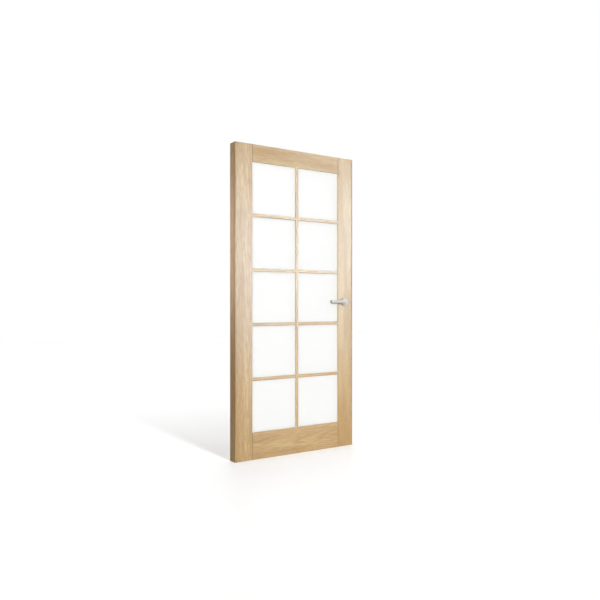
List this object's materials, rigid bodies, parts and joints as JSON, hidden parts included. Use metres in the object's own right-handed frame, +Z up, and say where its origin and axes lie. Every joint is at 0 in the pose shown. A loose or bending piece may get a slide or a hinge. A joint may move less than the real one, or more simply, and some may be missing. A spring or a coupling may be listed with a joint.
{
  "type": "glazed oak interior door leaf",
  "caption": "Oak interior door leaf with square glazed lights between slim bars and a round-bar lever handle on a round rose.",
  "frame": {"origin": "foot of the hinge edge, in the middle of the leaf's thickness", "axes": "+X from the hinge edge to the lock edge, -Y out of the front face, +Z up"},
  "size_m": [0.93, 0.164, 2.015],
  "materials": {
    "oak_stile": "satin lacquer",
    "oak_rail": "satin lacquer",
    "oak_bar": "satin lacquer",
    "oak_bead": "satin lacquer",
    "oak_lipping": "satin lacquer",
    "satin_glass": "satin-etched",
    "satin_steel": "satin",
    "plain_steel": "plain"
  },
  "bodies": {
    "leaf": {"back_rose": "satin_steel", "bar_1_beads": "oak_bead", "bar_1_left": "oak_bar", "bar_1_right": "oak_bar", "bar_2_beads": "oak_bead", "bar_2_left": "oak_bar", "bar_2_right": "oak_bar", "bar_3_beads": "oak_bead", "bar_3_left": "oak_bar", "bar_3_right": "oak_bar", "bar_4_beads": "oak_bead", "bar_4_left": "oak_bar", "bar_4_right": "oak_bar", "bottom_rail": "oak_rail", "bottom_rail_beads": "oak_bead", "front_rose": "satin_steel", "hinge_edge_lipping": "oak_lipping", "hinge_stile": "oak_stile", "hinge_stile_beads": "oak_bead", "latch": "plain_steel", "latch_bolt": "plain_steel", "lock_edge_lipping": "oak_lipping", "lock_stile": "oak_stile", "lock_stile_beads": "oak_bead", "pane_1_left": "satin_glass", "pane_1_right": "satin_glass", "pane_2_left": "satin_glass", "pane_2_right": "satin_glass", "pane_3_left": "satin_glass", "pane_3_right": "satin_glass", "pane_4_left": "satin_glass", "pane_4_right": "satin_glass", "pane_5_left": "satin_glass", "pane_5_right": "satin_glass", "top_rail": "oak_rail", "top_rail_beads": "oak_bead", "upright_bar": "oak_bar", "upright_bar_beads": "oak_bead"},
    "lever_set": {"front_lever": "satin_steel", "back_lever": "satin_steel", "spindle": "plain_steel"}
  },
  "joints": [
    {"name": "lever_turn", "type": "hinge", "parent": "leaf", "child": "lever_set", "pos_m": [0.86, 0, 1.01], "axis": [0, -1, 0], "range_deg": [0, 45], "stiffness_Nm_per_rad": 1.5, "springref_deg": -28.65}
  ]
}
